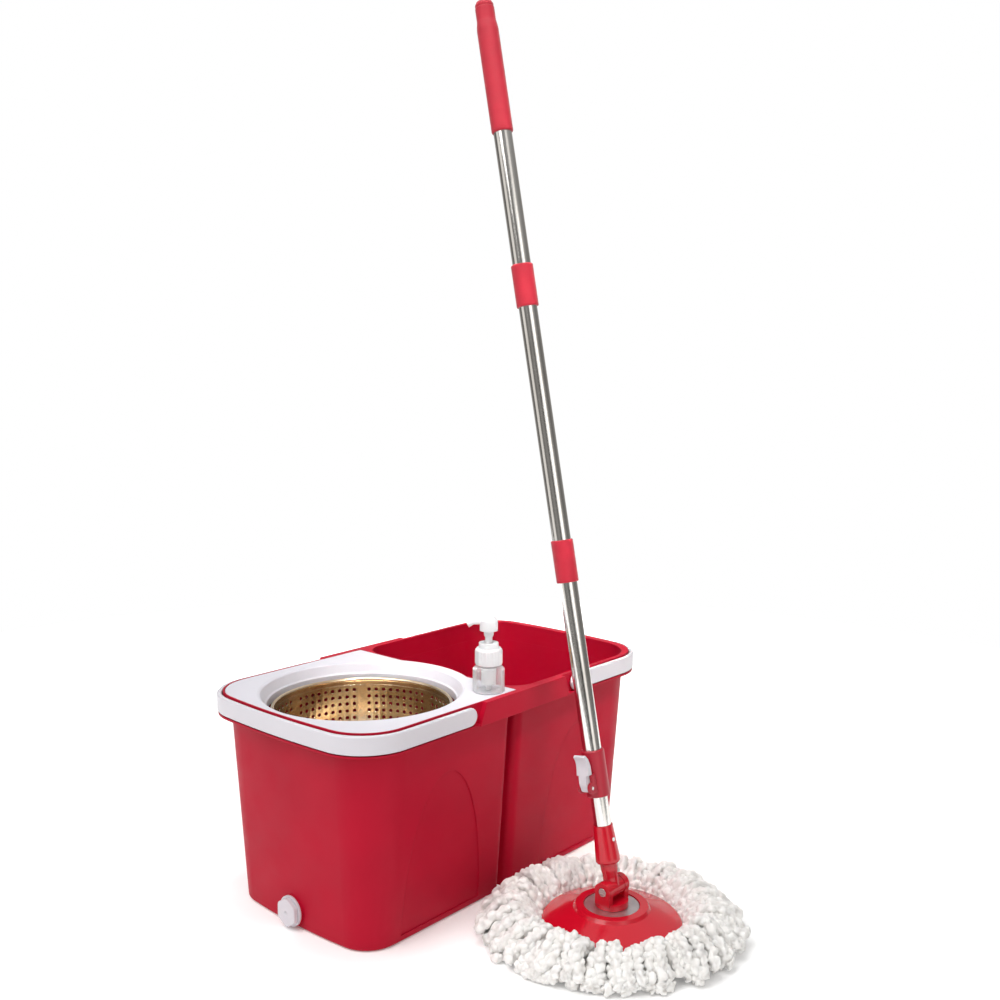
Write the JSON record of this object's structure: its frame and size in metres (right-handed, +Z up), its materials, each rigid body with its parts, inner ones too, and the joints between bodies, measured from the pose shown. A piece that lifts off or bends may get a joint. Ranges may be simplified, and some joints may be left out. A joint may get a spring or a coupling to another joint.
{
  "type": "spin mop",
  "caption": "Free-standing spin mop set: twin-tub bucket with a perforated spin basket, soap pump, drain knob and bail handles, and a telescopic mop with a swivelling string head.",
  "frame": {"origin": "centre of the bucket's flat base, on the floor", "axes": "+Z up, +X along the bucket's long axis away from the spin basket, -Y towards the mop"},
  "size_m": [0.5224, 0.5749, 1.0276],
  "materials": {
    "bucket_red": "satin",
    "handle_white": "satin",
    "panel_white": "gloss",
    "steel_plain": "machined",
    "nylon": "moulded",
    "basket_steel": "polished and perforated",
    "hub_grey": "moulded",
    "clear_plastic": "clear moulded plastic",
    "pump_white": "gloss",
    "pump_clear": "translucent white",
    "seal_rubber": "matt",
    "head_red": "gloss",
    "washer_steel": "brushed",
    "ring_white": "moulded",
    "microfibre": "looped chenille microfibre",
    "tube_steel": "polished stainless",
    "grip_red": "soft matt",
    "clamp_red": "satin"
  },
  "bodies": {
    "bucket": {"bucket_body": "bucket_red", "bucket_rim": "bucket_red", "basket_panel": "panel_white", "spindle": "steel_plain", "thrust_washer": "nylon", "drain_seat": "handle_white"},
    "handle_left": {"carry_handle_left": "handle_white"},
    "handle_right": {"carry_handle_right": "handle_white"},
    "basket": {"spin_basket": "basket_steel", "basket_hub": "hub_grey", "hub_cap": "hub_grey"},
    "drain_plug": {"drain_stem": "handle_white", "drain_seal": "seal_rubber"},
    "drain_turn": {"drain_knob": "handle_white"},
    "soap_dispenser": {"soap_bottle": "clear_plastic", "pump_collar": "pump_white", "pump_cylinder": "pump_clear", "pump_spring": "steel_plain"},
    "soap_plunger": {"pump_head": "pump_white"},
    "mop_fork": {"yoke": "head_red", "pivot_screw": "steel_plain", "swivel_retainer": "steel_plain", "retainer_screw": "steel_plain"},
    "mop_head": {"mop_plate": "head_red", "plate_washer": "washer_steel", "string_ring": "ring_white", "mop_strings": "microfibre"},
    "lower_handle": {"knuckle": "head_red", "handle_socket": "head_red", "socket_buttons": "steel_plain", "inner_tube": "tube_steel"},
    "nut": {"drive_nut": "nylon"},
    "upper_handle": {"clamp_housing": "clamp_red", "clamp_pad": "nylon", "lever_pin": "steel_plain", "outer_tube_lower": "tube_steel", "outer_tube_middle": "tube_steel", "outer_tube_upper": "tube_steel", "lower_sleeve": "grip_red", "upper_sleeve": "grip_red", "lower_connector": "nylon", "upper_connector": "nylon", "spiral_rod": "steel_plain", "grip": "grip_red", "grip_cap": "grip_red"},
    "lever": {"lock_lever": "handle_white"}
  },
  "joints": [
    {"name": "handle_left_swing", "type": "hinge", "parent": "bucket", "child": "handle_left", "pos_m": [-0.0965, 0, 0.2393], "axis": [0, 1, 0], "range_deg": [0, 95]},
    {"name": "handle_right_swing", "type": "hinge", "parent": "bucket", "child": "handle_right", "pos_m": [0.0965, 0, 0.2393], "axis": [0, -1, 0], "range_deg": [0, 95]},
    {"name": "basket_spin", "type": "hinge", "parent": "bucket", "child": "basket", "pos_m": [-0.128, 0, 0.16], "axis": [0, 0, 1], "continuous": true},
    {"name": "drain_pull", "type": "slide", "parent": "bucket", "child": "drain_plug", "axis": [-1, 0, 0], "range_m": [0, 0.008]},
    {"name": "drain_turn", "type": "hinge", "parent": "drain_plug", "child": "drain_turn", "pos_m": [-0.242, 0, 0.0192], "axis": [-1, 0, 0], "range_deg": [0, 360]},
    {"name": "dispenser_lift", "type": "slide", "parent": "bucket", "child": "soap_dispenser", "axis": [0, 0, 1], "range_m": [0, 0.1]},
    {"name": "pump_press", "type": "slide", "parent": "soap_dispenser", "child": "soap_plunger", "axis": [0, 0, -1], "range_m": [0, 0.008], "stiffness_N_per_m": 350, "springref_m": -0.004, "deforming": ["pump_spring"]},
    {"name": "mop_lift", "type": "slide", "parent": "bucket", "child": "mop_fork", "axis": [0, 0, 1], "range_m": [0, 0.1]},
    {"name": "head_spin", "type": "hinge", "parent": "mop_fork", "child": "mop_head", "pos_m": [-0.015, -0.2797, 0.022], "axis": [0, 0, 1], "continuous": true},
    {"name": "handle_tilt", "type": "hinge", "parent": "mop_fork", "child": "lower_handle", "pos_m": [-0.015, -0.2797, 0.057], "axis": [1, 0, 0], "range_deg": [-18, 98]},
    {"name": "handle_press", "type": "slide", "parent": "lower_handle", "child": "upper_handle", "axis": [0, 0.1959, 0.9806], "range_m": [0, 0.15]},
    {"name": "nut_turn", "type": "hinge", "parent": "lower_handle", "child": "nut", "pos_m": [-0.015, -0.22268, 0.34236], "axis": [0, 0.1959, 0.9806], "range_deg": [-451, 0]},
    {"name": "lever_flip", "type": "hinge", "parent": "upper_handle", "child": "lever", "pos_m": [-0.033, -0.25717, 0.16977], "axis": [0, -0.9806, 0.1959], "range_deg": [0, 95]}
  ],
  "couplings": [
    {"joint": "drain_turn", "follows": "drain_pull", "rad_per_m": 785.4},
    {"joint": "nut_turn", "follows": "handle_press", "rad_per_m": -52.36}
  ]
}
